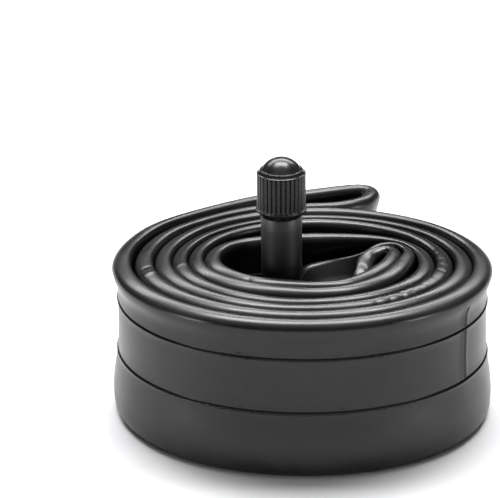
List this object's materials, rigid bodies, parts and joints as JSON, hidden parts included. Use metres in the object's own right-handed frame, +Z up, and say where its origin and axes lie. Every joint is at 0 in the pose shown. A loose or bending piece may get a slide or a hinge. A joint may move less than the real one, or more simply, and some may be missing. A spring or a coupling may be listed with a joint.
{
  "type": "bicycle inner tube",
  "caption": "Rolled-up butyl bicycle inner tube with a car type valve, screw-on dust cap and valve core.",
  "frame": {"origin": "middle of the outline in plan, on the surface the roll stands on", "axes": "+Z up along the valve, +X to the right of the roll seen from the front, +Y to the open loop at the back"},
  "size_m": [0.0786, 0.0774, 0.0555],
  "materials": {
    "butyl": "satin",
    "seal_rubber": "matte",
    "cap_plastic": "gloss",
    "brass": "satin",
    "spring_steel": "satin"
  },
  "bodies": {
    "tube": {"tube_body": "butyl", "valve_patch": "seal_rubber", "stem_rubber": "butyl", "stem_insert": "brass"},
    "cap_lift": {"cap_seal": "seal_rubber"},
    "cap": {"cap_shell": "cap_plastic"},
    "core": {"core_barrel": "brass", "core_barrel_seal": "seal_rubber", "core_spring": "spring_steel"},
    "core_plug": {"core_swivel": "brass"},
    "pin": {"core_pin": "brass", "core_cup": "brass", "core_cup_seal": "seal_rubber"}
  },
  "joints": [
    {"name": "cap_travel", "type": "slide", "parent": "tube", "child": "cap_lift", "axis": [0, 0, 1], "range_m": [0, 0.00397]},
    {"name": "cap_turn", "type": "hinge", "parent": "cap_lift", "child": "cap", "pos_m": [-0.00456, -0.00532, 0.05], "axis": [0, 0, 1], "range_deg": [0, 1800]},
    {"name": "core_travel", "type": "slide", "parent": "tube", "child": "core", "axis": [0, 0, 1], "range_m": [0, 0.000705]},
    {"name": "core_turn", "type": "hinge", "parent": "core", "child": "core_plug", "pos_m": [-0.00456, -0.00532, 0.05], "axis": [0, 0, 1], "range_deg": [0, 360]},
    {"name": "pin_press", "type": "slide", "parent": "core", "child": "pin", "axis": [0, 0, -1], "range_m": [0, 0.0012], "stiffness_N_per_m": 600, "springref_m": -0.0008, "deforming": ["core_spring"]}
  ],
  "couplings": [
    {"joint": "cap_turn", "follows": "cap_travel", "rad_per_m": 7915.8},
    {"joint": "core_turn", "follows": "core_travel", "rad_per_m": 8905.3}
  ]
}
